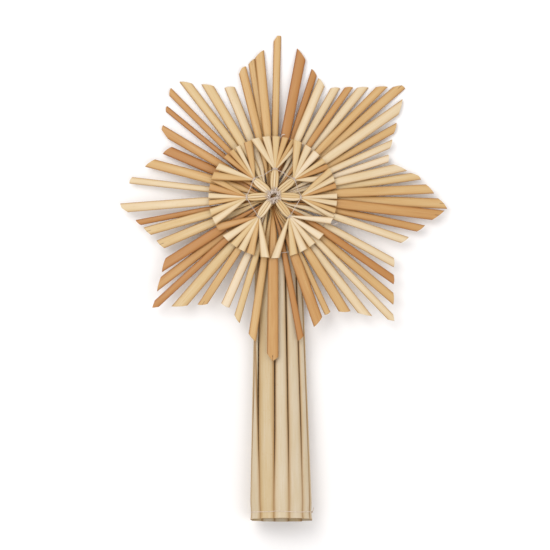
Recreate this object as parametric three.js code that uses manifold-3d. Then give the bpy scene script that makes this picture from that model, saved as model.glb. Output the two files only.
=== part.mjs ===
// A tree-top ornament of flattened natural straws, in millimetres, +Z up.
// It lies on its back, as it does when it isn't on a tree: the star faces up, its top ray points along +Y and
// the sleeve that slips over the tree's top shoot runs towards -Y. The sleeve lies flat on the surface, the
// star leans on it, and the tips of its upper rays come down to the same surface.
//
// The back star is four sheaves of straws, tied at their waists and stacked across each other at the centre.
// Each sheaf fans out at both ends, and the ray tips are trimmed straight along an eight-pointed outline.
// On it lies the front star: seven tied bundles, each a pod of straws from the centre out to its tie and a
// fan of flattened strips beyond it, trimmed round. Thin thread ties all of them.
import * as THREE from "three";
import { mergeVertices } from "three/addons/utils/BufferGeometryUtils.js";
import Module from "manifold-3d";

const wasm = await Module();
wasm.setup();

// ---- Driving dimensions ---------------------------------------------------------------------------------

const GAP = 0.25; // clearance kept between pieces that touch
const THREAD = 0.45; // thickness of the thread

const SLEEVE = {
  length: 167, // from the star's centre to the mouth
  tail: 9, // how far the straws run on above the star's centre
  mouth: { width: 34, depth: 21 },
  neck: { width: 23.7, depth: 6.5 }, // at the star's centre
  shift: 2.2, // the neck's offset to the right of the star's centre
  lean: 1.8, // and the mouth's further offset
  hem: 4.6, // height of the sewn thread above the mouth
  inset: 0.72, // how far the sewn thread pulls the straws in
  slant: 1.2, // how much shorter the top straw is cut than the one that the sleeve lies on
  thick: 1.0, // of a straw pressed flat at the mouth
  round: 2.0, // of the same straw halfway up
  threadPoints: 28, // corners of the threads' loops round the sleeve
};

// The widths of the sleeve's straws, round from the one that it lies on: at the mouth, where they are
// pressed flat, and from halfway up to the neck.
const STAVES = {
  mouth: [6.8, 7.1, 7.1, 7.2, 4.4, 7.1, 7.7, 7.2, 6.6, 6.5, 6.5, 6.5],
  upper: [5.2, 5.3, 5.1, 5.7, 3.8, 6.2, 5.8, 9.0, 2.6, 5.1, 5.4, 5.5],
  level: 0.55, // share of the way down to the mouth where they begin to change
};

const BACK = {
  sheaves: [7, 7, 7, 6], // straws in each sheaf
  thick: 0.8,
  waist: { pitch: 0.7, width: 0.5, thick: 1.0, half: 7.5, top: 2.45, step: 1.2 },
  low: 0.9, // height of every second ray above the sleeve
  lift: 1.75, // how much higher the rays between them lie at the thread that spaces them,
  tipLift: 1.05, // and at their tips
  shoulder: 18, // radius where the rays have spread into their layer
  level: 37, // radius out to which they lie level, past the thread that spaces them
  levelWidth: 0.93, // share of its full width that a straw has there,
  shoulderWidth: 0.45, // and at the shoulder,
  shoulderFill: 0.92, // where it fills no more than this share of the space to its nearer neighbour
  free: [12, 32], // degrees from the sleeve over which the rays come clear of it and hang back
  droop: 2.4, // degrees that the rays hang back from the star's plane
  reach: 75, // radius of a middling ray
  stretch: 1.012, // the star is this much longer along its top ray than across it,
  rise: 1.9, // and its middle is this far above the point that its bearings are taken from
};

// The eight-pointed outline that the rays are trimmed to, clockwise: bearing in degrees and radius of each
// corner, before the star is stretched. Each line is one point of the star, with its bent sides and the
// notch after it.
const OUTLINE = [
  [87.6, 82.6], [81.5, 77.6], [64, 61.5],
  [39.3, 88.5], [16.5, 61],
  [7.5, 75.4], [-4.4, 90.2], [-24, 68],
  [-46.5, 89.5], [-56, 72.5], [-65.5, 66.5],
  [-73.3, 71.8], [-90, 86], [-104, 69.7], [-113.5, 61],
  [-137, 85], [-152, 62],
  [-176.5, 79.6], [-187.5, 73.6], [-205.8, 58],
  [-210.5, 67], [-228.5, 79], [-249.5, 58.5],
  [-254.5, 65.8],
];

// Every ray of the back star, clockwise: bearing in degrees and width. The first half are the sheaves' heads
// and the second half their feet.
const RAYS = [
  [104, 4.6], [99.3, 3.8], [95.7, 5.0], [88.6, 3.9], [78.8, 5.5], [71.7, 3.7], [67, 4.7], // first sheaf
  [60.1, 4.3], [55, 3.7], [50.3, 4.8], [44.8, 4.4], [40.4, 4.9], [34.7, 5.4], [29, 4.2], // second
  [23.6, 3.8], [18, 3.9], [12.3, 5.0], [7.6, 4.3], [2.1, 5.1], [-3, 5.4], [-7.2, 5.6], // third
  [-12.8, 4.1], [-19, 4.2], [-29.3, 4.4], [-35.3, 4.2], [-41, 4.8], [-46.4, 3.9], // fourth
  [-52.6, 4.9], [-58.6, 5.3], [-65.5, 3.3], [-70.8, 5.8], [-79.4, 3.5], [-90.3, 5.9], [-98.4, 4.4], // first
  [-106.3, 3.8], [-113.6, 4.8], [-123, 4.2], [-130.3, 6], [-136.9, 3.9], [-142.1, 5], [-147.4, 5.4], // second
  [-156.6, 5.3], [-164, 4.8], [-168.6, 3.1], [-175, 4.9], [-186, 3.6], [-194.6, 5.2], [-203.2, 5.3], // third
  [-210.4, 4.8], [-219, 2.8], [-224.9, 3.5], [-232, 4.8], [-239, 5.2], [-247.9, 5.2], // fourth
];

const FRONT = {
  rim: { x: -0.4, y: -0.3, width: 66.4, length: 63.8 }, // the ellipse that the fans are trimmed to
  thick: 0.8,
  fill: 0.94, // share of the space to its nearer neighbour that a strip fills at the rim
  widest: 5.0, // and no strip is wider than this
  // A strip starts pinched just behind its tie, and spreads to shares of its width at shares of its length.
  strip: { behind: 0.3, width: 0.7, thick: 1.1, spreadAt: 0.3, spread: 0.58, fullAt: 0.6 },
  // A bundle where it is tied, and how far that stretch runs inwards and outwards from the tie.
  neck: { width: 2.2, thick: 1.6, inner: 1.4, outer: 1.2 },
  pod: { straws: 3, width: 1.75, thick: 1.7, pitch: 1.3, inner: 3, short: 0.2 }, // ending short of the tie
  centre: 7.1, // heights above the sleeve: of the pods at the star's centre,
  tie: 5.9, // of the ties,
  edge: 3.75, // and of the lowest strips' ends
  fanLift: 1.8, // how much higher a fan's last strip ends than its first, counter-clockwise
};

// The seven bundles of the front star, clockwise: bearing and radius of the tie, and the directions of its
// strips.
const FANS = [
  { name: "top", bearing: 87, radius: 14.4, strips: [122.8, 105, 88, 72.2, 58, 48.6] },
  { name: "upper_right", bearing: 40, radius: 13.9, strips: [84.7, 66.8, 50.2, 32.9, 21.4, 1.5] },
  { name: "right", bearing: -2.5, radius: 14.1, strips: [42.1, 30.2, 19.2, 2.8, -9, -20.8, -31.3] },
  { name: "lower_right", bearing: -52, radius: 13.5, strips: [-5.7, -33, -51.4, -67.7, -84, -109.5] },
  { name: "lower_left", bearing: -125, radius: 13, strips: [-81.7, -103, -117.6, -131.5, -147.3, -166.2] },
  { name: "left", bearing: -176.8, radius: 14, strips: [-144, -157.8, -172.6, -183.7, -197.4, -211.3] },
  { name: "upper_left", bearing: 139.2, radius: 13.5, strips: [174.4, 159.4, 139.3, 127.3, 115.5, 98] },
];

const RIM_THREAD = { radius: 30.5, points: 27 }; // the thread that spaces the back star's rays

// ---- Worked out from them -------------------------------------------------------------------------------

const ACROSS = new THREE.Vector3(1, 0, 0);
const ALONG = new THREE.Vector3(0, 1, 0);
const UP = new THREE.Vector3(0, 0, 1);
const lerp = THREE.MathUtils.lerp;
const radians = THREE.MathUtils.degToRad;
const towards = (bearing) => new THREE.Vector3(Math.cos(radians(bearing)), Math.sin(radians(bearing)), 0);
const leftOf = (direction) => UP.clone().cross(direction).normalize();

// The star's plane runs along the top of the sleeve, so it leans by the sleeve's taper.
const LEAN = Math.atan((SLEEVE.mouth.depth - SLEEVE.neck.depth) / SLEEVE.length);
const HEIGHT = SLEEVE.neck.depth + GAP; // of the star's plane above the surface, at the star's centre

const material = (color, roughness = 0.55) =>
  new THREE.MeshStandardMaterial({ color, roughness, metalness: 0 });
const STRAW = {
  pale: material(0xe6d2aa),
  golden: material(0xdcb882),
  amber: material(0xd0a066),
  brown: material(0xb98450),
};
const THREAD_LOOK = material(0xe2d6c4, 0.8);

// ---- Solids ---------------------------------------------------------------------------------------------

// Sections of a straw and of a thread, in shares of half their width and half their thickness.
const FLAT = [[1, 0], [0.6, 1], [-0.6, 1], [-1, 0], [-0.6, -1], [0.6, -1]];
const ROUND = [[1, 0], [0, 1], [-1, 0], [0, -1]];

// The points of a section at a place on something that runs along a direction.
function section({ at, along, up = UP, width, thick, outline = FLAT }) {
  const across = up.clone().cross(along).normalize();
  return outline.map(([x, y]) =>
    at.clone().addScaledVector(across, (x * width) / 2).addScaledVector(up, (y * thick) / 2),
  );
}

// A closed skin over rings of points: capped at both ends, or joined end to start where it is a loop.
function skin(rings, loop = false) {
  const sides = rings[0].length;
  const index = [];
  const spans = loop ? rings.length : rings.length - 1;
  for (let r = 0; r < spans; r++)
    for (let s = 0; s < sides; s++) {
      const [a, b] = [r * sides + s, r * sides + ((s + 1) % sides)];
      const [c, d] = [b, a].map((v) => (v + sides) % (rings.length * sides));
      index.push(a, b, c, a, c, d);
    }
  if (!loop) {
    const last = (rings.length - 1) * sides;
    for (let s = 1; s < sides - 1; s++) index.push(0, s + 1, s, last, last + s, last + s + 1);
  }
  const geometry = new THREE.BufferGeometry().setFromPoints(rings.flat());
  geometry.setIndex(index);
  geometry.computeVertexNormals();
  return geometry;
}

const threadSection = (at, along, up) =>
  section({ at, along, up, width: THREAD, thick: THREAD, outline: ROUND });

// A thread's loop round a closed line of points that lies in a plane with the given normal.
function threadLoop(points, normal) {
  const count = points.length;
  const rings = points.map((at, i) => {
    const along = points[(i + 1) % count].clone().sub(points[(i + count - 1) % count]).normalize();
    return threadSection(at, along, normal);
  });
  return skin(rings, true);
}

// A straight piece of thread.
function threadBar(from, to) {
  const along = to.clone().sub(from).normalize();
  const side = along.clone().cross(UP).normalize();
  const up = side.clone().cross(along);
  return skin([from, to].map((at) => threadSection(at, along, up)));
}

const ellipse = (x, y, centre, acrossAxis, upAxis, points) =>
  Array.from({ length: points }, (_, i) => {
    const angle = (2 * Math.PI * i) / points;
    return centre
      .clone()
      .addScaledVector(acrossAxis, x * Math.cos(angle))
      .addScaledVector(upAxis, y * Math.sin(angle));
  });

function solid(geometry) {
  const bare = new THREE.BufferGeometry().setAttribute("position", geometry.getAttribute("position"));
  bare.setIndex(geometry.index);
  const merged = mergeVertices(bare, 1e-4);
  const mesh = new wasm.Mesh({
    numProp: 3,
    vertProperties: merged.attributes.position.array,
    triVerts: new Uint32Array(merged.index.array),
  });
  return new wasm.Manifold(mesh);
}

function fused(geometries) {
  const whole = geometries.map(solid).reduce((a, b) => a.add(b));
  const mesh = whole.getMesh();
  const geometry = new THREE.BufferGeometry();
  geometry.setAttribute("position", new THREE.BufferAttribute(new Float32Array(mesh.vertProperties), 3));
  geometry.setIndex(new THREE.BufferAttribute(mesh.triVerts, 1));
  geometry.computeVertexNormals();
  return geometry;
}

function named(name, geometry, look) {
  const mesh = new THREE.Mesh(geometry, look);
  mesh.name = name;
  return mesh;
}

// ---- Sleeve ---------------------------------------------------------------------------------------------

// The straws stand side by side round an ellipse, like staves. These are the angles between them where they
// have the given widths, with the first straw's middle at the bottom.
function staveAngles(widths) {
  const steps = 1440;
  const at = (i) => -Math.PI / 2 + (2 * Math.PI * i) / steps;
  const lengths = [0];
  for (let i = 0; i < steps; i++) {
    const middle = (at(i) + at(i + 1)) / 2;
    const step = Math.hypot(SLEEVE.mouth.width * Math.sin(middle), SLEEVE.mouth.depth * Math.cos(middle));
    lengths.push(lengths[i] + step);
  }
  const scale = lengths[steps] / widths.reduce((a, b) => a + b);
  let reached = widths[0] / 2;
  return widths.map((width, k) => {
    if (k > 0) reached += width;
    return at(lengths.findIndex((length) => length >= reached * scale));
  });
}
const ANGLES = { mouth: staveAngles(STAVES.mouth), upper: staveAngles(STAVES.upper) };

// The sleeve's places along its length: y, how flat the straws are there, how far they are pulled in, and the
// share of its stave that each straw fills.
const SLEEVE_PLACES = [
  { y: -SLEEVE.length, flat: 1, inset: SLEEVE.inset / 4, fill: 0.95 },
  { y: -SLEEVE.length + SLEEVE.hem, flat: 1, inset: SLEEVE.inset, fill: 0.95 },
  { y: -SLEEVE.length + SLEEVE.hem + 3, flat: 1, inset: 0, fill: 0.95 },
  { y: -SLEEVE.length * 0.72, flat: 0.2, inset: 0, fill: 0.88 },
  { y: -SLEEVE.length * 0.4, flat: 0.1, inset: 0, fill: 0.84 },
  { y: -12, flat: 0.8, inset: 0, fill: 0.86 },
  { y: 0, flat: 1, inset: 0.7, fill: 0.66 },
  { y: SLEEVE.tail, flat: 1, inset: 0.5, fill: 0.62 },
];

// The middle of the sleeve's section at a place, and half its size to the middle of the straws' thickness.
function sleeveSection({ y, flat, inset }) {
  const down = -y / SLEEVE.length;
  const thick = lerp(SLEEVE.round, SLEEVE.thick, flat);
  const depth = lerp(SLEEVE.neck.depth, SLEEVE.mouth.depth, down);
  const width = lerp(SLEEVE.neck.width, SLEEVE.mouth.width, down);
  return {
    centre: new THREE.Vector3(SLEEVE.shift + SLEEVE.lean * down, y, depth / 2),
    x: width / 2 - inset - thick / 2,
    z: depth / 2 - inset - thick / 2,
    thick,
  };
}

// The angles of a straw's two edges at a place.
function staveEdges(k, y) {
  const count = STAVES.mouth.length;
  const pressed = THREE.MathUtils.smoothstep(-y / SLEEVE.length, STAVES.level, 1);
  const after = (i) => lerp(ANGLES.upper[i], ANGLES.mouth[i], pressed);
  return k === 0 ? [after(count - 1) - 2 * Math.PI, after(0)] : [after(k - 1), after(k)];
}

function sleeveStraw(k) {
  const rings = SLEEVE_PLACES.map((place, i) => {
    const { centre, x, z, thick } = sleeveSection(place);
    const angles = staveEdges(k, place.y);
    const lowest = -Math.sin(staveEdges(0, place.y)[1]); // the first straw's edges are the sleeve's lowest
    const edge = (angle) => new THREE.Vector3(x * Math.cos(angle), 0, (z * Math.sin(angle)) / lowest);
    const [from, to] = angles.map(edge);
    const across = to.clone().sub(from);
    const up = new THREE.Vector3(across.z, 0, -across.x).normalize();
    const height = (1 + Math.sin((angles[0] + angles[1]) / 2)) / 2;
    const at = from.clone().add(to).divideScalar(2).add(centre);
    if (i === 0) at.y += SLEEVE.slant * height;
    return section({ at, along: ALONG, up, width: across.length() * place.fill, thick });
  });
  return skin(rings);
}

// The thread sewn round the mouth lies in the line where it pulls the straws in.
function hemThread() {
  const { centre, x, z, thick } = sleeveSection(SLEEVE_PLACES[1]);
  const out = thick / 2 + GAP + THREAD / 2;
  return threadLoop(ellipse(x + out, z + out, centre, ACROSS, UP, SLEEVE.threadPoints), ALONG);
}

// The thread that ties the star to the sleeve: round the sleeve's neck, and over the waist of the first sheaf.
function neckThread() {
  const { centre, x, z, thick } = sleeveSection(SLEEVE_PLACES[6]);
  const out = thick / 2 + GAP + THREAD / 2;
  const hump = { half: 5, top: HEIGHT + BACK.waist.top - BACK.waist.thick / 2 - GAP / 2 - THREAD / 2 };
  const line = ellipse(x + out, z + out, centre, ACROSS, UP, SLEEVE.threadPoints);
  for (const point of line)
    if (point.z > centre.z && Math.abs(point.x) < hump.half) point.z = hump.top;
  return threadLoop(line, ALONG);
}

// ---- Back star ------------------------------------------------------------------------------------------

const stretched = (point) => new THREE.Vector3(point.x, point.y * BACK.stretch + BACK.rise, point.z);
const corners = OUTLINE.map(([bearing, radius]) => stretched(towards(bearing).multiplyScalar(radius)));
const rayDirection = (bearing) => stretched(towards(bearing).multiplyScalar(BACK.reach)).normalize();

// How far a point inside the outline is from it, along a direction.
function toOutline(from, direction) {
  let nearest = Infinity;
  corners.forEach((a, i) => {
    const edge = corners[(i + 1) % corners.length].clone().sub(a);
    const cross = direction.x * edge.y - direction.y * edge.x;
    const [dx, dy] = [a.x - from.x, a.y - from.y];
    const distance = (dx * edge.y - dy * edge.x) / cross;
    const share = (dx * direction.y - dy * direction.x) / cross;
    if (distance > 0 && share >= 0 && share <= 1) nearest = Math.min(nearest, distance);
  });
  return nearest;
}

// How far a ray's tip hangs back. The lowest rays lie along the sleeve, and no tip goes below the surface.
function tipHeight(bearing, radius, width, lift) {
  const fromSleeve = Math.abs(THREE.MathUtils.euclideanModulo(bearing + 90 + 180, 360) - 180);
  const free = THREE.MathUtils.smoothstep(fromSleeve, ...BACK.free);
  const hanging = BACK.low - free * radius * Math.tan(radians(BACK.droop));
  const y = radius * Math.sin(radians(bearing)) + width / 2;
  const onSurface = (BACK.thick / 2 + y * Math.sin(LEAN) - HEIGHT) / Math.cos(LEAN);
  return Math.max(hanging, onSurface) + lift;
}

// The sections of a ray, from its sheaf's waist out to its trimmed tip.
function raySections(index, outwards) {
  const [bearing, width] = RAYS[index];
  const direction = rayDirection(bearing);
  const along = direction.clone().multiplyScalar(outwards ? 1 : -1);
  const raised = (index + 1) % 2;
  const height = BACK.low + raised * BACK.lift;
  const radius = toOutline(new THREE.Vector3(), direction);
  const tip = tipHeight(bearing, radius, width, raised * BACK.tipLift);
  const nextBearings = [index - 1, index + 1].map((i) => RAYS[(i + RAYS.length) % RAYS.length][0]);
  const turnTo = (next) => Math.abs(THREE.MathUtils.euclideanModulo(next - bearing + 180, 360) - 180);
  const spacing = Math.min(...nextBearings.map(turnTo));
  const shoulderWidth = Math.min(
    BACK.shoulderFill * radians(spacing) * BACK.shoulder,
    BACK.shoulderWidth * width,
  );
  const place = (distance, z, across) =>
    section({
      at: direction.clone().multiplyScalar(distance).setZ(z),
      along,
      width: across,
      thick: BACK.thick,
    });
  const end = place(BACK.level, tip, width).map((point) =>
    point.addScaledVector(direction, toOutline(point, direction)),
  );
  return [
    place(BACK.shoulder, height, shoulderWidth),
    place(BACK.level, height, width * BACK.levelWidth),
    end,
  ];
}

// One straw of a sheaf: it comes in along its foot, passes the waist beside the sheaf's other straws, and goes
// out along its head on the same side.
function backStraw(sheaf, k) {
  const size = BACK.sheaves[sheaf];
  const first = BACK.sheaves.slice(0, sheaf).reduce((a, b) => a + b, 0);
  const half = RAYS.length / 2;
  const mean = (from) => RAYS.slice(from, from + size).reduce((sum, ray) => sum + ray[0], 0) / size;
  const axis = rayDirection(mean(first)).sub(rayDirection(mean(first + half))).normalize();
  const { pitch, width, thick, half: reach, top, step } = BACK.waist;
  const z = sheaf === 0 ? BACK.waist.thick / 2 + GAP : top + (sheaf - 1) * step;
  const sideways = leftOf(axis).multiplyScalar(((size - 1) / 2 - k) * pitch);
  const waist = [-reach, reach].map((distance) =>
    section({ at: axis.clone().multiplyScalar(distance).add(sideways).setZ(z), along: axis, width, thick }),
  );
  const foot = raySections(first + half + size - 1 - k, false);
  const head = raySections(first + k, true);
  return { geometry: skin([...foot.reverse(), ...waist, ...head]), head: first + k };
}

// The thread that spaces the rays passes over the lower ones and under the others.
function rimThread() {
  const height = BACK.low + BACK.lift / 2;
  const { radius, points } = RIM_THREAD;
  return threadLoop(ellipse(radius, radius, new THREE.Vector3(0, 0, height), ACROSS, ALONG, points), UP);
}

// ---- Front star -----------------------------------------------------------------------------------------

// How far a point inside the rim is from it, along a direction.
function toRim(from, direction) {
  const { x, y, width, length } = FRONT.rim;
  const inRim = (v) => new THREE.Vector2((2 * v.x) / width, (2 * v.y) / length);
  const [place, way] = [inRim({ x: from.x - x, y: from.y - y }), inRim(direction)];
  const [a, b, c] = [way.dot(way), place.dot(way), place.dot(place) - 1];
  return (-b + Math.sqrt(b * b - a * c)) / a;
}

const tieOf = (fan) => towards(fan.bearing).multiplyScalar(fan.radius).setZ(FRONT.tie);

// A strip of a fan: pinched at the tie, and spreading to its full width at the rim.
function fanStrip(fan, j) {
  const { strips } = fan;
  const direction = towards(strips[j]);
  const tie = tieOf(fan);
  const length = toRim(tie, direction);
  const spaces = [strips[j - 1] - strips[j], strips[j] - strips[j + 1]].filter(Number.isFinite);
  const space = radians(Math.min(...spaces)) * length;
  const width = Math.min(FRONT.fill * space, FRONT.widest);
  const end = FRONT.edge + FRONT.fanLift * (1 - j / (strips.length - 1));
  const { behind, width: rootWidth, thick: rootThick, spreadAt, spread, fullAt } = FRONT.strip;
  const place = (distance, across, thick) =>
    section({
      at: tie.clone().addScaledVector(direction, distance).setZ(lerp(FRONT.tie, end, distance / length)),
      along: direction,
      width: across,
      thick,
    });
  const tip = place(length * fullAt, width, FRONT.thick).map((point) =>
    point.addScaledVector(direction, toRim(point, direction)).setZ(point.z - (FRONT.tie - end) * (1 - fullAt)),
  );
  return skin([
    place(-behind, rootWidth, rootThick),
    place(length * spreadAt, width * spread, FRONT.thick),
    tip,
  ]);
}

// The shape of a pod's straw: how far along it is, and the shares of its sideways offset, width and thickness.
const POD_SHAPE = [
  { along: 0, spread: 0.42, width: 0.45, thick: 0.7 },
  { along: 0.27, spread: 0.92, width: 0.95, thick: 1 },
  { along: 0.74, spread: 0.92, width: 0.95, thick: 1 },
  { along: 1, spread: 0.4, width: 0.45, thick: 0.66 },
];

// A straw of a pod: it bulges between the star's centre and the tie.
function podStraw(fan, i) {
  const direction = towards(fan.bearing);
  const { straws, width, thick, pitch, inner, short } = FRONT.pod;
  const side = i - (straws - 1) / 2;
  const rings = POD_SHAPE.map((shape) => {
    const distance = lerp(inner, fan.radius - short, shape.along);
    const at = direction.clone().multiplyScalar(distance);
    at.addScaledVector(leftOf(direction), side * pitch * shape.spread);
    at.setZ(lerp(FRONT.centre, FRONT.tie, distance / fan.radius));
    return section({ at, along: direction, width: width * shape.width, thick: thick * shape.thick });
  });
  return skin(rings);
}

const neckCore = (fan) => {
  const direction = towards(fan.bearing);
  const { width, thick, inner, outer } = FRONT.neck;
  const ends = [-inner, outer].map((distance) => tieOf(fan).addScaledVector(direction, distance));
  return skin(ends.map((at) => section({ at, along: direction, width, thick })));
};

function frontBundle(fan) {
  const pod = Array.from({ length: FRONT.pod.straws }, (_, i) => podStraw(fan, i));
  return fused([neckCore(fan), ...pod, ...fan.strips.map((_, j) => fanStrip(fan, j))]);
}

// One thread ties the seven necks and runs on from each tie to the next. It starts at the lower left tie and
// ends at the lower right one.
function spokeThread() {
  const out = GAP / 2 + THREAD / 2;
  const [x, z] = [FRONT.neck.width / 2 + out + 0.2, FRONT.neck.thick / 2 + out + 0.25];
  const loops = FANS.map((fan) => {
    const direction = towards(fan.bearing);
    return threadLoop(ellipse(x, z, tieOf(fan), leftOf(direction), UP, 10), direction);
  });
  const order = FANS.map((_, i) => FANS[(i + 4) % FANS.length]);
  const bars = order.slice(1).map((fan, i) => {
    const last = order[i];
    return threadBar(
      tieOf(last).addScaledVector(leftOf(towards(last.bearing)), -x),
      tieOf(fan).addScaledVector(leftOf(towards(fan.bearing)), x),
    );
  });
  return fused([...loops, ...bars]);
}

// The thread wound round the star's centre, over the pods' inner ends.
function centreThread() {
  const ring = { radius: 2.9, half: 0.95, thick: 0.8 }; // a flat coil: its middle radius and half its width
  const base = FRONT.centre + FRONT.pod.thick / 2 + 0.1;
  const profile = [[-1, 0.3], [-0.5, 0], [0.5, 0], [1, 0.3], [0.5, 1], [-0.5, 1], [-1, 0.3]].map(
    ([x, y]) => new THREE.Vector2(ring.radius + x * ring.half, y * ring.thick),
  );
  return new THREE.LatheGeometry(profile, 16).rotateX(Math.PI / 2).translate(0, 0, base);
}

// ---- Assembly -------------------------------------------------------------------------------------------

// Tones of the back star's straws, sheaf by sheaf: p pale, g golden, a amber, b brown.
const TONES = "ggggbbp" + "papgapg" + "pppggga" + "appbgp";
const LOOKS = { p: STRAW.pale, g: STRAW.golden, a: STRAW.amber, b: STRAW.brown };

const two = (n) => String(n).padStart(2, "0");

const star = new THREE.Group();
star.rotation.x = -LEAN;
star.position.z = HEIGHT;
BACK.sheaves.forEach((size, sheaf) => {
  for (let k = 0; k < size; k++) {
    const { geometry, head } = backStraw(sheaf, k);
    star.add(named(`back_straw_${two(head + 1)}`, geometry, LOOKS[TONES[head]]));
  }
});
FANS.forEach((fan) => star.add(named(`front_bundle_${fan.name}`, frontBundle(fan), STRAW.pale)));
star.add(named("rim_thread", rimThread(), THREAD_LOOK));
star.add(named("spoke_thread", spokeThread(), THREAD_LOOK));
star.add(named("centre_thread", centreThread(), THREAD_LOOK));

const ornament = new THREE.Group();
ornament.add(star);
for (let k = 0; k < STAVES.mouth.length; k++)
  ornament.add(named(`sleeve_straw_${two(k + 1)}`, sleeveStraw(k), k % 3 ? STRAW.pale : STRAW.golden));
ornament.add(named("neck_thread", neckThread(), THREAD_LOOK));
ornament.add(named("hem_thread", hemThread(), THREAD_LOOK));

// The origin is at the middle of the ornament's box, on the surface it lies on.
const box = new THREE.Box3().setFromObject(ornament, true);
const middle = box.getCenter(new THREE.Vector3());
ornament.position.set(-middle.x, -middle.y, -box.min.z);

const part = new THREE.Group();
part.add(ornament);

export default part;
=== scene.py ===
"""The looks of a straw star tree topper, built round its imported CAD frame: flattened straws and thread."""

import math

import bpy
import numpy as np
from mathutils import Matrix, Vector


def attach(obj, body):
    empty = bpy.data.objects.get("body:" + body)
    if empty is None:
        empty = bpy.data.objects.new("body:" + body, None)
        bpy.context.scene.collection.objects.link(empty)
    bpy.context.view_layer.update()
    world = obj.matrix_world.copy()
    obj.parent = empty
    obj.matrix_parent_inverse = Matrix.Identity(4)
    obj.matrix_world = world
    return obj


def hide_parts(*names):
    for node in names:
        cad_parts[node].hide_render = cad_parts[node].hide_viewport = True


MM = 0.001
UP = np.array([0.0, 0.0, 1.0])

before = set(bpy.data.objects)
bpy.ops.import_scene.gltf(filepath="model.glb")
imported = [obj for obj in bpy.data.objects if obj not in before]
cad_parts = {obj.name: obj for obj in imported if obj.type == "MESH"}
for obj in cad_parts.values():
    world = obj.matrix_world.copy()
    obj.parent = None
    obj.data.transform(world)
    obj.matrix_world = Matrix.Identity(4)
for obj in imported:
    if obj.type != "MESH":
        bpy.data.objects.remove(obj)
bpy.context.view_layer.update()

# ---- Sizes and tones -------------------------------------------------------------------------------------

SIDES = 20  # points round a straw's section
CORNERS = 6  # points round a straw's section in the frame
STEP = 1.3 * MM  # between a straw's sections
WALL = 0.18 * MM  # of a straw
HOLLOW = 2.2 * MM  # depth that an open end shows
CREASE_WIDTH = 0.16  # of half the straw's width
ROLL_WAVE = 70 * MM  # length of the slow waves in which a straw's edges roll up and down
SHARP, SMOOTH = 50, 180  # degrees that two faces turn before their edge is drawn sharp

# A back straw has eight sections, from its foot's tip to its head's. The rays lie in two layers, so inside
# the front star's rim each is wider than its share of the round.
RAY_THICKNESS = np.array([1.0, 1.45, 1.2, 1.0, 1.0, 1.2, 1.45, 1.0]) * MM
INNER_SECTIONS = (2, 3, 4, 5)
INNER_WIDENING = 1.5
RAY_BULGE = 0.45 * MM  # how far the middle of a ray's cut end is rounded out

# A pod's straws: share of the way to the tie, share of the full spread and of the width, and thickness.
POD_SECTIONS = (
    (0.2, 0.6, 0.6, 0.9 * MM),
    (0.36, 0.95, 0.95, 1.4 * MM),
    (0.82, 1.0, 1.0, 1.4 * MM),
    (0.97, 0.5, 0.6, 0.9 * MM),
)
POD_PITCH = 1.35 * MM
STRIP_THICKNESS = np.array([0.9, 1.2, 1.3, 1.2, 1.0]) * MM  # from behind the tie to the strip's tip
STRIP_PITCH = 0.24 * MM  # between two strips where they are tied

# The sleeve's straws press against each other, but for the last sections, where they are bunched.
SLEEVE_PRESSED = range(6)
SLEEVE_WIDENING = 1.07

THREAD_SIDES = 8  # points round a thread's section
THREAD_CORNERS = 4  # points round a thread's section in the frame
FINE = 0.2 * MM  # thickness of a wound thread
PLY = 0.34 * MM  # thickness of a thread that runs free
LAY = 1.1 * MM  # length of one turn of a thread's two plies
TIE = {"half_width": 1.3 * MM, "half_height": 1.1 * MM, "turns": 3, "pitch": 0.3 * MM}
KNOT = {"half_width": 0.45 * MM, "half_height": 0.35 * MM, "turns": 2, "pitch": 0.2 * MM}
TIE_REACH = 2.2 * MM  # within this of the ties' radius, a bundle's points belong to its tie
CENTRE_TURNS = 60  # of the thread that is wound round the star's centre
CENTRE_ADVANCE = 0.382  # of a round, from one of its turns to the next, so that they come evenly all round
RIM_RISE = 1.2 * MM  # how far the spacing thread lies towards the top ray
NECK_TURNS = 3  # of the thread that ties the sleeve under the star
NECK_PITCH = 0.4 * MM

# Tones run from 0, the palest straw, to 5, the brownest. The back star's rays have these, clockwise from the
# first straw's head, and the front star's strips these, clockwise in each bundle.
BROWNEST = 5
RAY_TONES = "3333551" + "1413313" + "1012334" + "411531" + "1334543" + "2032545" + "2251135" + "454221"
STRIP_TONES = {
    "top": "112331",
    "upper_right": "210241",
    "right": "2141131",
    "lower_right": "001121",
    "lower_left": "131214",
    "left": "123143",
    "upper_left": "314313",
}
SLEEVE_TONES = "121211121121"
TONE_COLOURS = (
    (219, 201, 173),
    (210, 189, 153),
    (203, 176, 129),
    (197, 161, 108),
    (187, 143, 87),
    (174, 122, 66),
)
CREASED_RAYS = {11, 19, 20, 32}  # rays of straws with a deep crease, counted from 0 as RAY_TONES are
ROLLED_STRIP = ("lower_right", 0)  # the strip that is rolled up, narrower and thicker than the others

# Each kind of piece takes its small irregularities from seeds of its own, counted on from these.
SEEDS = {
    "ray": 100,
    "pod": 200,
    "strip": 300,
    "tie": 500,
    "knot": 520,
    "spoke": 540,
    "centre": 560,
    "rim": 600,
    "neck": 700,
    "hem": 710,
    "sleeve": 800,
}


def linear(rgb):
    """An sRGB colour of 0 to 255 as linear values with alpha."""
    share = [c / 255 for c in rgb]
    return [c / 12.92 if c <= 0.04045 else ((c + 0.055) / 1.055) ** 2.4 for c in share] + [1.0]


def wander(s, seed, wavelength):
    """A smooth wave along s that seems random, between about -1 and 1."""
    phases = np.random.default_rng(seed).uniform(0, 2 * math.pi, 3)
    waves = [np.sin(2 * math.pi * s / (wavelength * k) + p) for k, p in zip((1, 0.62, 0.37), phases)]
    return (waves[0] + 0.6 * waves[1] + 0.35 * waves[2]) / 1.95


def unit(vectors):
    return vectors / np.linalg.norm(vectors, axis=-1, keepdims=True)


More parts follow.
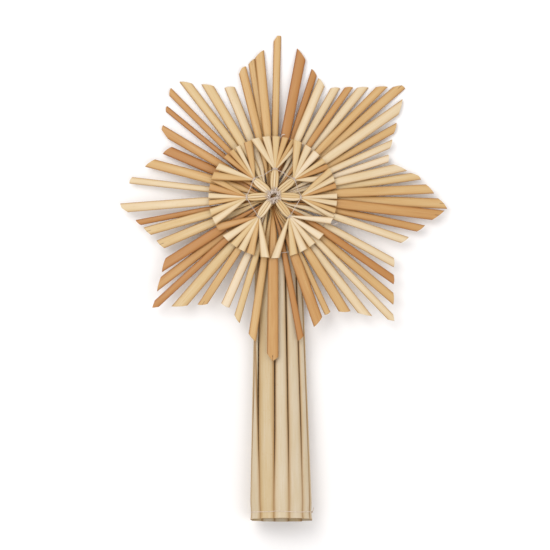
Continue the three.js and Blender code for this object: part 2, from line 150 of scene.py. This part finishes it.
# ---- Reading the frame -----------------------------------------------------------------------------------


def nodes_named(prefix):
    return sorted(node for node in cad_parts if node.startswith(prefix))


def corners(node):
    """A CAD node's points in the row frame, each once."""
    points = np.array([v.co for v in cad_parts[node].data.vertices])
    return np.unique(points, axis=0)


def rings_along(points, direction):
    """The points of a straw's sections in order along a direction, one array to a section."""
    order = np.argsort(points @ direction)
    return points[order].reshape(-1, CORNERS, 3)


def edges(ring, across):
    """The two points of a section furthest apart along a direction: left, where it points, and right."""
    places = ring @ across
    return ring[places.argmax()], ring[places.argmin()]


class Star:
    """The star's own frame: its centre on the plane of its spacing thread, and that plane's axes."""

    def __init__(self):
        ring = corners("rim_thread")
        self.centre = ring.mean(0)
        normal = np.linalg.svd(ring - self.centre)[2][2]
        z = normal * np.sign(normal[2])
        x = np.array([1.0, 0.0, 0.0])
        self.axes = np.array([x, np.cross(z, x), z])
        self.face = self.axes[2]
        self.radius = np.linalg.norm(ring - self.centre, axis=1).mean()

    def inside(self, points):
        """Points of the row frame in the star's."""
        return (points - self.centre) @ self.axes.T

    def outside(self, points):
        """Points of the star's frame in the row frame."""
        return np.asarray(points) @ self.axes + self.centre


star = Star()

# ---- Materials -------------------------------------------------------------------------------------------


class Nodes:
    """Small helper that adds and links a material's nodes."""

    def __init__(self, name):
        self.material = bpy.data.materials.new(name)
        self.material.use_nodes = True
        self.tree = self.material.node_tree
        self.shader = self.tree.nodes["Principled BSDF"]

    def add(self, kind, inputs=None, **settings):
        node = self.tree.nodes.new("ShaderNode" + kind)
        for key, value in settings.items():
            setattr(node, key, value)
        for key, value in (inputs or {}).items():
            if isinstance(value, bpy.types.NodeSocket):
                self.tree.links.new(value, node.inputs[key])
            else:
                node.inputs[key].default_value = value
        return node

    def attribute(self, name):
        return self.add("Attribute", attribute_name=name).outputs["Vector"]

    def math(self, operation, a, b=0.0):
        return self.add("Math", {0: a, 1: b}, operation=operation).outputs[0]

    def swing(self, noise, size):
        """Noise, which lies about a half, turned into a swing about 0."""
        return self.math("MULTIPLY", self.math("SUBTRACT", noise, 0.5), size)

    def multiply(self, a, b):
        """Two colours multiplied."""
        mix = self.add("Mix", {"Factor": 1.0, "A": a, "B": b}, data_type="RGBA", blend_type="MULTIPLY")
        return mix.outputs["Result"]

    def ramp(self, factor, stops):
        node = self.add("ValToRGB", {0: factor})
        ramp = node.color_ramp
        while len(ramp.elements) < len(stops):
            ramp.elements.new(0.5)
        for element, (place, colour) in zip(ramp.elements, stops):
            element.position = place
            element.color = colour
        return node.outputs[0]

    def noise(self, vector, stretch, scale=1.0, detail=3.0):
        """Noise, finer along an axis where stretch is more."""
        placed = self.add("Mapping", {"Vector": vector, "Scale": stretch}).outputs[0]
        inputs = {"Vector": placed, "Scale": scale, "Detail": detail, "Roughness": 0.6}
        return self.add("TexNoise", inputs).outputs[0]

    def bump(self, height, strength, distance):
        node = self.add("Bump", {"Strength": strength, "Distance": distance, "Height": height})
        self.link(node.outputs[0], "Normal")

    def link(self, output, name):
        self.tree.links.new(output, self.shader.inputs[name])


def straw_material(name, shade):
    """Natural straw: its tone, broad patches, fibres along its length, small flecks and darker edges, which
    are partly the folds' own browner colour and partly painted shade.

    The grain attribute is a place on the straw in millimetres, across, along and through it. The tone
    attribute is the straw's tone as a share of the brownest, and then the place across and up its section.
    """
    m = Nodes(name)
    grain = m.attribute("grain")
    tone = m.add("SeparateXYZ", {0: m.attribute("tone")})
    patches = m.noise(grain, (0.35, 0.035, 1.0))
    fibres = m.noise(grain, (5.0, 0.05, 1.0), detail=4.0)
    flecks = m.noise(grain, (3.2, 0.5, 1.0), detail=2.0)
    shift = m.math("ADD", m.swing(patches, 0.42), m.swing(fibres, 0.44))
    stops = [(0.04 + 0.92 * i / BROWNEST, linear(c)) for i, c in enumerate(TONE_COLOURS)]
    base = m.ramp(m.math("ADD", tone.outputs[0], shift), stops)
    # shade multiplies the straw's colour; where it is below white, as on the sleeve, it is painted shade
    fleck = m.ramp(flecks, [(0.66, shade), (0.78, (0.74, 0.6, 0.42, 1))])
    # Darker and browner towards a straw's edges: partly the folds' own browner colour, partly painted shade
    # for the straw's roundness and the shade between straws.
    folded_edge_and_shade_stops = [(0.3, (1, 1, 1, 1)), (0.7, (0.93, 0.88, 0.8, 1)), (1.0, (0.6, 0.42, 0.24, 1))]
    folded_edge_and_shade = m.ramp(m.math("ABSOLUTE", tone.outputs[1]), folded_edge_and_shade_stops)
    m.link(m.multiply(m.multiply(base, fleck), folded_edge_and_shade), "Base Color")
    m.link(m.math("ADD", m.math("MULTIPLY", fibres, 0.35), 0.26), "Roughness")
    m.bump(fibres, 0.35, 0.12 * MM)
    m.shader.inputs["Specular IOR Level"].default_value = 0.4
    return m.material


def cut_material():
    """The wall's cut end: paler, matt and fibrous."""
    m = Nodes("straw_cut")
    fibres = m.noise(m.attribute("grain"), (7.0, 7.0, 7.0))
    m.link(m.ramp(fibres, [(0.35, linear((176, 136, 88))), (0.65, linear((226, 200, 152)))]), "Base Color")
    m.shader.inputs["Roughness"].default_value = 0.85
    return m.material


def painted_shade_inside_material():
    """The inside of a straw, painted dark brown for the shade there, as light hardly reaches it."""
    m = Nodes("straw_inside_painted_shade")
    fibres = m.noise(m.attribute("grain"), (4.0, 0.4, 1.0))
    m.link(m.ramp(fibres, [(0.3, linear((112, 78, 44))), (0.7, linear((160, 120, 74)))]), "Base Color")
    m.shader.inputs["Roughness"].default_value = 0.8
    return m.material


def thread_material():
    """Thin cotton thread, off-white and a little dusty, with fine hairs."""
    m = Nodes("thread")
    place = m.add("TexCoord").outputs["Object"]
    dust = m.noise(place, (1.0, 1.0, 1.0), 700.0)
    hairs = m.noise(place, (1.0, 1.0, 1.0), 6000.0)
    m.link(m.ramp(dust, [(0.3, linear((186, 167, 150))), (0.7, linear((228, 214, 202)))]), "Base Color")
    m.bump(hairs, 0.4, 0.05 * MM)
    m.shader.inputs["Roughness"].default_value = 0.85
    m.shader.inputs["Sheen Weight"].default_value = 0.3
    return m.material


STRAW = straw_material("straw", (1, 1, 1, 1))
SLEEVE_STRAW_PAINTED_SHADE = straw_material("sleeve_straw", (0.86, 0.9, 0.98, 1))  # painted shade: the sleeve's straws are made darker and greyer for the less direct light they get
STRAW_CUT = cut_material()
STRAW_INSIDE_PAINTED_SHADE = painted_shade_inside_material()
THREAD = thread_material()

# ---- Meshes ----------------------------------------------------------------------------------------------


def make_piece(node, vertices, faces, materials, sharp_angle):
    """A mesh piece of the object that rides on its body and stands for a CAD node."""
    name = node + "_dressed"
    mesh = bpy.data.meshes.new(name)
    mesh.from_pydata([tuple(v) for v in vertices], [], [tuple(f) for f in faces])
    for material in materials:
        mesh.materials.append(material)
    mesh.shade_smooth()
    mesh.set_sharp_from_angle(angle=math.radians(sharp_angle))
    piece = bpy.data.objects.new(name, mesh)
    bpy.context.scene.collection.objects.link(piece)
    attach(piece, "root")
    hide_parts(node)
    return mesh


def band(a, b, sides):
    """The faces between two rings of points that start at a and b."""
    return [(a + i, a + (i + 1) % sides, b + (i + 1) % sides, b + i) for i in range(sides)]


def distances(line):
    """How far along a line of points each of them is."""
    return np.concatenate([[0], np.cumsum(np.linalg.norm(np.diff(line, axis=0), axis=1))])


def places_between(middle):
    """Where a straw's sections come, about STEP apart, counted in the places that its line is given at."""
    lengths = np.linalg.norm(np.diff(middle, axis=0), axis=1)
    counts = np.maximum(2, np.round(lengths / STEP)).astype(int)
    return np.concatenate([np.arange(n) / n + k for k, n in enumerate(counts)] + [[len(counts)]])


def smoothed(values, rounds):
    """Values along a straw with their corners eased, and the first two and last two kept."""
    values = values.copy()
    for _ in range(rounds):
        values[2:-2] = (values[1:-3] + 2 * values[2:-2] + values[3:-1]) / 4
    return values


def spread(values, places, rounds):
    """Numbers or vectors along a straw, read off at more places and eased."""
    values = np.asarray(values, float)
    given = np.arange(len(values))
    if values.ndim == 1:
        return smoothed(np.interp(places, given, values), rounds)
    return smoothed(np.stack([np.interp(places, given, v) for v in values.T], 1), rounds)


class Straws:
    """Collects straws into one mesh. A straw is given by its left and right edge at a few places."""

    def __init__(self, material):
        self.materials = [material, STRAW_CUT, STRAW_INSIDE_PAINTED_SHADE]
        self.vertices, self.faces, self.indices, self.grain, self.tone = [], [], [], [], []
        angles = 2 * math.pi * np.arange(SIDES) / SIDES
        self.x, self.y = np.cos(angles), np.sin(angles)

    def section(self, left, right, normal, thick, crease=0.0, shrink=0.0):
        """Points round a section. shrink moves them in by that much, and crease dents its upper face."""
        middle, half = (left + right) / 2, (left - right) / 2
        size = np.linalg.norm(half)
        height = (thick / 2 - shrink) * self.y
        height = height - crease * thick * np.exp(-((self.x / CREASE_WIDTH) ** 2)) * (self.y > 0)
        across = np.outer(self.x * (1 - shrink / size), half)
        return middle + across + np.outer(height, normal)

    def add_ring(self, points, grain, tone):
        self.vertices.extend(points)
        self.grain.extend(grain)
        self.tone.extend(tone)
        return len(self.vertices) - SIDES

    def add(self, left, right, normal, thick, tone, seed, crease=0.0, loose=0.0, rounds=3,
            peaks=(0.0, 0.0), bulge=0.0):
        """Adds a straw, open at both ends.

        left and right are (n, 3) arrays. thick has n values, and normal and tone have n or one. loose is
        how far its edges roll up and down, and rounds is how much its bends are eased. A peak is how far the
        middle of an end stands out past the line between its corners, and bulge is how far it is rounded.
        """
        places = places_between((left + right) / 2)
        normal = np.broadcast_to(normal, left.shape)
        tone = np.broadcast_to(tone, len(left))
        given = (left, right, normal, thick, tone)
        left, right, normal, thick, tone = (spread(values, places, rounds) for values in given)
        middle = (left + right) / 2
        s = distances(middle)
        along = unit(np.gradient(middle, axis=0))
        face = np.cross(along, unit(left - right))
        normal = unit(face * np.sign(np.sum(face * normal, 1))[:, None])
        roll = np.outer(loose * wander(s, seed, ROLL_WAVE), [1, 1, 1]) * normal
        left, right = left + roll, right - roll
        half_width = np.linalg.norm(left - right, axis=1) / 2 / MM
        offset = np.random.default_rng(seed).uniform(0, 100, 3)  # so that no two straws are alike

        stand_out = [np.clip(1 - abs(self.x), 0, 1) * peak + (1 - self.x**2) * bulge for peak in peaks]
        ends = {0: -stand_out[0], len(s) - 1: stand_out[1]}
        rings = []
        for i in range(len(s)):
            points = self.section(left[i], right[i], normal[i], thick[i], crease)
            points = points + np.outer(ends.get(i, np.zeros(SIDES)), along[i])
            length = np.full(SIDES, s[i] / MM + offset[1])
            grain = np.stack([self.x * half_width[i] + offset[0], length, self.y * 0.4 + offset[2]], 1)
            shares = np.stack([np.full(SIDES, tone[i] / BROWNEST), self.x, self.y], 1)
            rings.append(self.add_ring(points, grain, shares))
        for a, b in zip(rings, rings[1:]):
            self.faces += band(a, b, SIDES)
            self.indices += [0] * SIDES
        for i, shape in ends.items():
            wall = min(WALL, 0.3 * thick[i])
            rim = self.section(left[i], right[i], normal[i], thick[i], shrink=wall)
            depth = HOLLOW if i == 0 else -HOLLOW
            self.close(rings[i], rim + np.outer(shape, along[i]), along[i] * depth, i > 0)

    def close(self, ring, rim, inward, is_last):
        """Closes an end with its wall's cut and a cap inside, painted dark for the shade deep in the straw.
        """
        grain = self.grain[ring:ring + SIDES]
        tone = self.tone[ring:ring + SIDES]
        for index, points in ((1, rim), (2, rim + inward)):
            inner = self.add_ring(points, grain, tone)
            faces = band(ring, inner, SIDES)
            self.faces += faces if is_last else [face[::-1] for face in faces]
            self.indices += [index] * SIDES
            ring = inner
        cap = tuple(range(ring, ring + SIDES))
        self.faces.append(cap if is_last else cap[::-1])
        self.indices.append(2)

    def piece(self, node):
        mesh = make_piece(node, self.vertices, self.faces, self.materials, SHARP)
        mesh.polygons.foreach_set("material_index", self.indices)
        for name, values in (("grain", self.grain), ("tone", self.tone)):
            attribute = mesh.attributes.new(name, "FLOAT_VECTOR", "POINT")
            attribute.data.foreach_set("vector", np.ravel(values))


class Threads:
    """Collects runs of two-ply thread into one mesh."""

    def __init__(self):
        self.vertices, self.faces = [], []

    def add(self, path, thickness=FINE, loop=False):
        """path is a dense (n, 3) line of points."""
        n = len(path)
        if loop:
            along = unit(np.roll(path, -1, 0) - np.roll(path, 1, 0))
        else:
            along = unit(np.gradient(path, axis=0))
        turns = distances(path) / LAY
        if loop:
            # The two plies meet themselves after a whole number of half turns.
            turns *= round(turns[-1] * 2) / 2 / turns[-1] * (n - 1) / n
        start = len(self.vertices)
        normal = np.cross(along[0], UP + 0.1)
        angles = 2 * math.pi * np.arange(THREAD_SIDES) / THREAD_SIDES
        for i in range(n):
            normal = unit(normal - along[i] * (normal @ along[i]))
            side = np.cross(along[i], normal)
            radius = thickness / 2 * (0.84 + 0.2 * np.cos(2 * (angles - 2 * math.pi * turns[i])))
            ring = np.outer(radius * np.cos(angles), normal) + np.outer(radius * np.sin(angles), side)
            self.vertices.extend(path[i] + ring)
        rings = start + THREAD_SIDES * np.arange(n)
        pairs = zip(rings, np.roll(rings, -1)) if loop else zip(rings, rings[1:])
        for a, b in pairs:
            self.faces += band(a, b, THREAD_SIDES)
        if not loop:
            self.faces.append(tuple(range(rings[0], rings[0] + THREAD_SIDES))[::-1])
            self.faces.append(tuple(range(rings[-1], rings[-1] + THREAD_SIDES)))

    def piece(self, node):
        make_piece(node, self.vertices, self.faces, [THREAD], SMOOTH)


def eased(points, step=0.22 * MM, loop=False):
    """A dense smooth line through a few points (Catmull-Rom)."""
    n = len(points)
    line = []
    for i in range(n if loop else n - 1):
        if loop:
            a, b, c, d = (points[(i + k) % n] for k in (-1, 0, 1, 2))
        else:
            a, b, c, d = (points[min(max(i + k, 0), n - 1)] for k in (-1, 0, 1, 2))
        count = max(2, round(np.linalg.norm(c - b) / step))
        t = (np.arange(count) / count)[:, None]
        square, cube = 2 * a - 5 * b + 4 * c - d, 3 * b - a - 3 * c + d
        line.append(0.5 * (2 * b + (c - a) * t + square * t**2 + cube * t**3))
    if not loop:
        line.append(points[-1:])
    return np.concatenate(line)


# ---- Back star -------------------------------------------------------------------------------------------


def ray_ends(points):
    """The directions of a back straw's two tips in the star's plane: its head's and its foot's."""
    flat = points[:, :2]
    far = flat[np.linalg.norm(flat, axis=1) > 1.3 * star.radius]
    side = far @ far[0] > 0
    return [unit(far[part].mean(0)) for part in (side, ~side)]


def peak_of(tip, direction, across):
    """How far a trimmed tip's middle stands out past the line between its corners, and 0 where it doesn't."""
    order = np.argsort(tip @ across)
    reach, place = (tip @ direction)[order], (tip @ across)[order]
    line = np.interp(place[1:-1], place[[0, -1]], reach[[0, -1]])
    share = 1 - abs(2 * (place[1:-1] - place[0]) / (place[-1] - place[0]) - 1)
    return max(0.0, float(np.mean((reach[1:-1] - line) / share)))


def widened(left, right, sections, factor):
    """The edges with some sections made wider about their middle."""
    left, right = np.array(left), np.array(right)
    half = (left - right) / 2
    for i in sections:
        left[i] += half[i] * (factor - 1)
        right[i] -= half[i] * (factor - 1)
    return left, right


def back_straw_edges(points, foot_way, head_way):
    """A back straw's edges from its foot's tip to its head's, and how far its two tips are peaked."""
    left, right, peaks = [], [], []
    for way, sign in ((foot_way, -1), (head_way, 1)):
        direction = np.append(way, 0)
        across = np.cross(UP, direction * sign)
        rings = rings_along(points[points @ direction > 0], direction * sign)
        for ring in rings:
            left_edge, right_edge = edges(ring, across)
            left.append(left_edge)
            right.append(right_edge)
        tip = rings[0 if sign < 0 else -1]
        peaks.append(peak_of(tip, direction, across))
    return left, right, peaks


def back_star():
    """The straws of the back star. Each runs through the centre, from its foot to its head."""
    names = nodes_named("back_straw_")
    points = {name: star.inside(corners(name)) for name in names}
    ends = [(name, way) for name in names for way in ray_ends(points[name])]
    # Clockwise from just before the first straw's head, which is the one on the upper side.
    first = max((way for name, way in ends if name == names[0]), key=lambda way: way[1])
    start = math.atan2(first[1], first[0]) + 0.01
    ends.sort(key=lambda end: (start - math.atan2(end[1][1], end[1][0])) % (2 * math.pi))
    for number, name in enumerate(names):
        rays = [(ray, way) for ray, (owner, way) in enumerate(ends) if owner == name]
        (head, head_way), (foot, foot_way) = rays
        left, right, peaks = back_straw_edges(points[name], foot_way, head_way)
        left, right = widened(left, right, INNER_SECTIONS, INNER_WIDENING)
        tones = [int(RAY_TONES[foot])] * 4 + [int(RAY_TONES[head])] * 4
        crease = 0.22 if {head, foot} & CREASED_RAYS else 0.05 * (number % 3)
        straws = Straws(STRAW)
        straws.add(star.outside(left), star.outside(right), star.face, RAY_THICKNESS, tones,
                   SEEDS["ray"] + number, crease, loose=0.12 * MM, peaks=peaks, bulge=RAY_BULGE)
        straws.piece(name)


# ---- Front star ------------------------------------------------------------------------------------------


def ways_at(tie):
    """The directions outwards and sideways at a tie, in the star's plane."""
    outwards = unit(np.append(tie[:2], 0))
    return outwards, np.cross(UP, outwards)


def bundle_frame(node):
    """A front bundle's tie and the tips of its strips, clockwise, in the star's frame."""
    points = star.inside(corners(node))
    radius = np.linalg.norm(points[:, :2], axis=1)
    tie_radius = np.median(np.linalg.norm(star.inside(corners("spoke_thread"))[:, :2], axis=1))
    tie = points[abs(radius - tie_radius) < TIE_REACH].mean(0)
    tips = points[radius > 1.01 * star.radius]
    bearings = np.arctan2(*(tips - tie)[:, 1::-1].T)
    middle = math.atan2(tie[1], tie[0])
    turned = (bearings - middle + math.pi) % (2 * math.pi)
    ordered = tips[np.argsort(-turned)]
    return tie, ordered.reshape(-1, CORNERS, 3)


def pod_straws(straws, tie, inner_height, seed):
    """The three straws between the star's centre and a tie, side by side."""
    rng = np.random.default_rng(seed)
    outwards, sideways = ways_at(tie)
    reach = np.linalg.norm(tie[:2])
    for side, width, rise in ((-1, 1.7, -0.1), (0, 1.6, 0.15), (1, 1.7, -0.1)):
        width = width * rng.uniform(0.88, 1.12) * MM
        left, right, thick = [], [], []
        for share, pinch, full, height in POD_SECTIONS:
            middle = outwards * reach * share + sideways * side * POD_PITCH * pinch
            middle = middle + UP * (inner_height + (tie[2] - inner_height) * share + rise * MM * pinch)
            left.append(middle + sideways * width * full / 2)
            right.append(middle - sideways * width * full / 2)
            thick.append(height)
        tone = rng.uniform(0.6, 2.4)
        straws.add(star.outside(left), star.outside(right), star.face, thick, tone, seed + 2 + side,
                   crease=0.08, rounds=2)


def strip_edges(tie, tip, side, fill, lift):
    """A strip's edges from just behind its tie to its tip.

    side is its place in the fan, fill the share of its CAD width that it keeps, and lift how far its left
    edge is raised to lie on its neighbour.
    """
    sideways = ways_at(tie)[1]
    middle = tip.mean(0)
    across = unit(np.cross(UP, unit(middle - tie)))
    left_tip, right_tip = edges(tip, across)
    width = np.linalg.norm(left_tip - right_tip) * fill
    sections = (
        (-0.03, 0.7 * MM, 0),
        (0.1, 1.2 * MM, 0),
        (0.3, width * 0.52, lift),
        (0.62, width * 0.76, lift),
    )
    left, right = [], []
    for share, size, tilt in sections:
        centre = tie + (middle - tie) * share + sideways * side * STRIP_PITCH * (1 - share)
        half = across * size / 2 + UP * tilt
        left.append(centre + half)
        right.append(centre - half)
    slim = (left_tip - right_tip) * (1 - fill) / 2
    left.append(left_tip - slim + UP * lift)
    right.append(right_tip + slim - UP * lift)
    return left, right


def front_star():
    """The seven tied bundles, each a pod and a fan of strips. Returns the places of their ties."""
    ties = {}
    inner_height = star.inside(corners("centre_thread"))[:, 2].min() - 0.6 * MM
    for number, (name, tones) in enumerate(STRIP_TONES.items()):
        node = "front_bundle_" + name
        tie, tips = bundle_frame(node)
        ties[name] = tie
        straws = Straws(STRAW)
        pod_straws(straws, tie, inner_height, SEEDS["pod"] + 10 * number)
        for strip, tip in enumerate(tips):
            seed = SEEDS["strip"] + 10 * number + strip
            rng = np.random.default_rng(seed)
            side = (len(tips) - 1) / 2 - strip
            rolled = (name, strip) == ROLLED_STRIP
            fill = 0.74 if rolled else rng.uniform(0.84, 0.96)
            left, right = strip_edges(tie, tip, side, fill, rng.uniform(0.1, 0.35) * MM)
            thick = STRIP_THICKNESS * (1.5 if rolled else 1)
            straws.add(star.outside(left), star.outside(right), star.face, thick, float(tones[strip]), seed,
                       crease=(0.0, 0.16, 0.08)[strip % 3], loose=0.05 * MM, rounds=1)
        straws.piece(node)
    return ties


# ---- Threads ---------------------------------------------------------------------------------------------


def winding(centre, along, across, up, seed, half_width, half_height, turns, pitch):
    """Turns of thread round a bundle, side by side along it."""
    angle = np.arange(0, turns * 2 * math.pi, 0.22)
    wobble = wander(angle, seed, 5.0)
    advance = (angle / (2 * math.pi) - turns / 2) * pitch + 0.05 * MM * wobble
    swell = 1 + 0.05 * wander(angle, seed + 1, 3.1)
    return (
        centre
        + np.outer(advance, along)
        + np.outer(half_width * swell * np.cos(angle), across)
        + np.outer(half_height * swell * np.sin(angle), up)
    )


def spoke_threads(ties):
    """The thread that ties the seven bundles and runs on from tie to tie, from the lower left clockwise."""
    threads = Threads()
    names = list(ties)
    order = names[4:] + names[:4]
    for number, name in enumerate(names):
        tie = ties[name]
        outwards, sideways = ways_at(tie)
        wound = winding(tie - 0.1 * MM * outwards, outwards, sideways, UP, SEEDS["tie"] + number, **TIE)
        threads.add(star.outside(wound))
        knot = winding(tie + UP * 1.2 * MM, UP, sideways, outwards, SEEDS["knot"] + number, **KNOT)
        threads.add(star.outside(knot))
    share = np.linspace(0, 1, 70)[:, None]
    for number, (a, b) in enumerate(zip(order, order[1:])):
        for strand, lift in enumerate((1.0, 0.4)):
            start, end = ties[a] + UP * lift * MM, ties[b] + UP * lift * MM
            outwards = unit(np.append(start[:2] + end[:2], 0))
            sag = -0.9 * MM * np.sin(math.pi * share) * UP
            seed = SEEDS["spoke"] + 2 * number + strand
            drift = wander(share[:, 0], seed, 0.9) * np.sin(math.pi * share[:, 0])
            path = start + (end - start) * share + sag + np.outer(0.4 * MM * drift, outwards)
            threads.add(star.outside(path))
    threads.piece("spoke_thread")


def centre_thread():
    """Thread wound round the star's centre, up through a narrow slot and out over the pods' ends."""
    box = star.inside(corners("centre_thread"))
    low, high = box[:, 2].min() - 1.5 * MM, box[:, 2].max()
    reach = np.linalg.norm(box[:, :2], axis=1).max()
    rng = np.random.default_rng(SEEDS["centre"])
    slot = {"half_length": 1.9 * MM, "half_width": 1.0 * MM, "bearing": math.radians(27)}
    angle = np.linspace(0, 2 * math.pi, 60, endpoint=False)
    threads = Threads()
    for turn in range(CENTRE_TURNS):
        bearing = 2 * math.pi * (turn * CENTRE_ADVANCE + rng.uniform(-0.02, 0.02))
        turned = bearing - slot["bearing"]
        hole = 1 / math.hypot(math.cos(turned) / slot["half_length"], math.sin(turned) / slot["half_width"])
        inner = hole * rng.uniform(1.0, 1.2)
        outer = max(reach * rng.uniform(0.75, 1.2), inner + 1.2 * MM)
        drift = rng.uniform(-0.35, 0.35)
        direction = bearing + drift * np.cos(angle) + 0.1 * np.sin(2 * angle + rng.uniform(0, 6))
        radius = (inner + outer) / 2 + (outer - inner) / 2 * np.cos(angle)
        top = rng.uniform(0.75, 1.12)
        height = low + (high - low) * (0.5 + 0.5 * top * np.sin(angle))
        path = np.stack([radius * np.cos(direction), radius * np.sin(direction), height], 1)
        threads.add(star.outside(path), 1.3 * FINE, loop=True)
    threads.piece("centre_thread")


def rim_thread():
    """The spacing thread, over one ray and under the next, with two loose tails."""
    threads = Threads()
    angle = np.linspace(0, 2 * math.pi, 900, endpoint=False)
    radius = star.radius * (1 + 0.008 * wander(angle, SEEDS["rim"], 1.3))
    height = 0.05 * MM * np.sin(len(RAY_TONES) // 2 * angle)
    path = np.stack([radius * np.cos(angle), radius * np.sin(angle) + RIM_RISE, height], 1)
    threads.add(star.outside(path), PLY, loop=True)
    # A tail's line, in shares of its reach outwards, and in millimetres across and up.
    places = ((0, 0, 0), (0.45, 0, 1.2), (0.85, 0.5, 2.6), (1, 1.9, 2.4))
    for bearing, turn, reach in ((-25, 1, 5.4), (83, -1, 2.6)):
        way = np.array([math.cos(math.radians(bearing)), math.sin(math.radians(bearing)), 0])
        side = np.cross(UP, way) * turn
        start = way * star.radius
        tail = [start + (way * reach * out + side * across + UP * up) * MM for out, across, up in places]
        threads.add(star.outside(eased(np.array(tail))), 1.4 * PLY)
    threads.piece("rim_thread")


def neck_thread():
    """Turns round the sleeve's neck and over the star's waist, along the thread's CAD line."""
    points = corners("neck_thread")
    centre = points.mean(0)
    angles = np.arctan2(points[:, 2] - centre[2], points[:, 0] - centre[0])
    groups = np.array_split(points[np.argsort(angles)], len(points) // THREAD_CORNERS)
    line = np.array([group.mean(0) for group in groups])
    threads = Threads()
    for turn in range(NECK_TURNS):
        wave = np.outer(0.12 * MM * wander(np.arange(len(line)), SEEDS["neck"] + turn, 9.0), [0, 1, 0])
        beside = [0, (turn - (NECK_TURNS - 1) / 2) * NECK_PITCH, 0]
        threads.add(eased(line + beside + wave, loop=True), loop=True)
    threads.piece("neck_thread")


def hem_thread(staves):
    """The thread sewn round the mouth: over the crown of each straw, down before the next, and a knot."""
    line = []
    for left, right, normal, thick in staves:
        for x in (0.93, 0.6, 0.2, -0.2, -0.6, -0.93):
            crown = thick / 2 * math.sqrt(1 - x * x) + PLY * 1.1
            line.append((left + right) / 2 + (left - right) / 2 * x + normal * crown)
    line = np.array(line)
    line[:, 1] += 0.25 * MM * wander(np.arange(len(line)), SEEDS["hem"], 20.0)
    threads = Threads()
    threads.add(eased(line, loop=True), PLY, loop=True)
    end = line[line[:, 0].argmax()]
    angle = np.linspace(0, 5 * math.pi, 60)
    radius = 0.3 * MM
    knot = end + np.outer(radius * np.cos(angle), [0, 1, 0]) + np.outer(radius * np.sin(angle), [0.5, 0, 1])
    threads.add(knot + np.outer(angle * 0.02 * MM, [1, 0, 0]), PLY)
    tail = end + np.array([[0, 0, 0], [0.5, 0.5, 0.6], [1.0, 1.4, 0.3], [0.9, 2.2, -0.6]]) * MM
    threads.add(eased(tail), PLY)
    threads.piece("hem_thread")


# ---- Sleeve ----------------------------------------------------------------------------------------------


def stave_sections(rings, axis):
    """A sleeve straw's left and right edges, outward directions and thicknesses, from the mouth upwards."""
    left, right, normal, thick = [], [], [], []
    for ring, centre in zip(rings, axis):
        middle = ring.mean(0)
        outwards = middle - centre
        across = np.linalg.svd(ring - middle)[2][0]
        across = across * np.sign(across @ np.cross([0, 1, 0], outwards))
        face = unit(np.cross(across, [0, 1, 0]))
        face = face * np.sign(face @ outwards)
        left_edge, right_edge = edges(ring, across)
        left.append(left_edge)
        right.append(right_edge)
        normal.append(face)
        thick.append(np.ptp(ring @ face))
    return left, right, normal, thick


def sleeve():
    """The sleeve's straws. Returns each one's edges, outward direction and thickness at the hem."""
    names = nodes_named("sleeve_straw_")
    rings = {name: rings_along(corners(name), np.array([0.0, 1.0, 0.0])) for name in names}
    axis = np.mean([[ring.mean(0) for ring in straw] for straw in rings.values()], 0)
    hem = []
    for number, name in enumerate(names):
        left, right, normal, thick = stave_sections(rings[name], axis)
        left, right = widened(left, right, SLEEVE_PRESSED, SLEEVE_WIDENING)
        # The sleeve's straws take the material with painted shade, darker and greyer than the star's.
        straws = Straws(SLEEVE_STRAW_PAINTED_SHADE)
        straws.add(left, right, normal, thick, int(SLEEVE_TONES[number]), SEEDS["sleeve"] + number,
                   loose=0.1 * MM, rounds=5)
        straws.piece(name)
        hem.append((left[1], right[1], normal[1], thick[1]))
    return hem


# ---- Stage -----------------------------------------------------------------------------------------------


def floor():
    """A plain white floor, which can't be seen from below."""
    bpy.ops.mesh.primitive_plane_add(size=12, location=(0, 0, 0))
    plane = bpy.context.object
    plane.name = "floor"
    m = Nodes("floor")
    m.shader.inputs["Base Color"].default_value = (0.9, 0.895, 0.9, 1)
    m.shader.inputs["Roughness"].default_value = 0.9
    back = m.add("NewGeometry").outputs["Backfacing"]
    clear = m.add("BsdfTransparent").outputs[0]
    mixed = m.add("MixShader", {0: back, 1: m.shader.outputs[0], 2: clear})
    m.tree.links.new(mixed.outputs[0], m.tree.nodes["Material Output"].inputs["Surface"])
    plane.data.materials.append(m.material)


def lights():
    """Soft studio light: a bright room, a key light from the upper left and a weaker fill opposite it."""
    world = bpy.data.worlds.new("studio")
    bpy.context.scene.world = world
    world.use_nodes = True
    background = world.node_tree.nodes["Background"]
    background.inputs["Color"].default_value = (1.0, 0.985, 0.985, 1)
    background.inputs["Strength"].default_value = 0.78
    for name, place, size, power, colour in (
        ("key", (-0.55, 0.5, 1.2), 0.9, 9.0, (1.0, 0.98, 0.95)),
        ("fill", (0.7, -0.5, 1.3), 1.0, 5.0, (1.0, 0.98, 0.96)),
    ):
        light = bpy.data.lights.new(name, "AREA")
        light.size, light.energy, light.color = size, power, colour
        lamp = bpy.data.objects.new(name, light)
        lamp.location = place
        lamp.rotation_euler = (-Vector(place)).to_track_quat("-Z", "Y").to_euler()
        bpy.context.scene.collection.objects.link(lamp)
    bpy.context.scene.view_settings.view_transform = "Standard"


def camera():
    """A long lens, looking down on the ornament where it lies."""
    shown = 284 * MM  # width of what the camera takes in
    elevation = math.radians(86)
    aim = Vector(star.centre) + Vector((0.75, -40.1, -0.5)) * MM  # on the sleeve, below the star's centre
    data = bpy.data.cameras.new("camera")
    data.lens, data.sensor_width = 400, 36
    data.clip_start, data.clip_end = 0.05, 50
    distance = shown * data.lens / data.sensor_width
    back = Vector((0, -math.cos(elevation), math.sin(elevation)))
    eye = bpy.data.objects.new("camera", data)
    eye.location = aim + back * distance
    eye.rotation_euler = (-back).to_track_quat("-Z", "Y").to_euler()
    bpy.context.scene.collection.objects.link(eye)
    bpy.context.scene.camera = eye


# ---- Assembly --------------------------------------------------------------------------------------------

back_star()
tie_places = front_star()
spoke_threads(tie_places)
centre_thread()
rim_thread()
neck_thread()
hem_thread(sleeve())
floor()
lights()
camera()
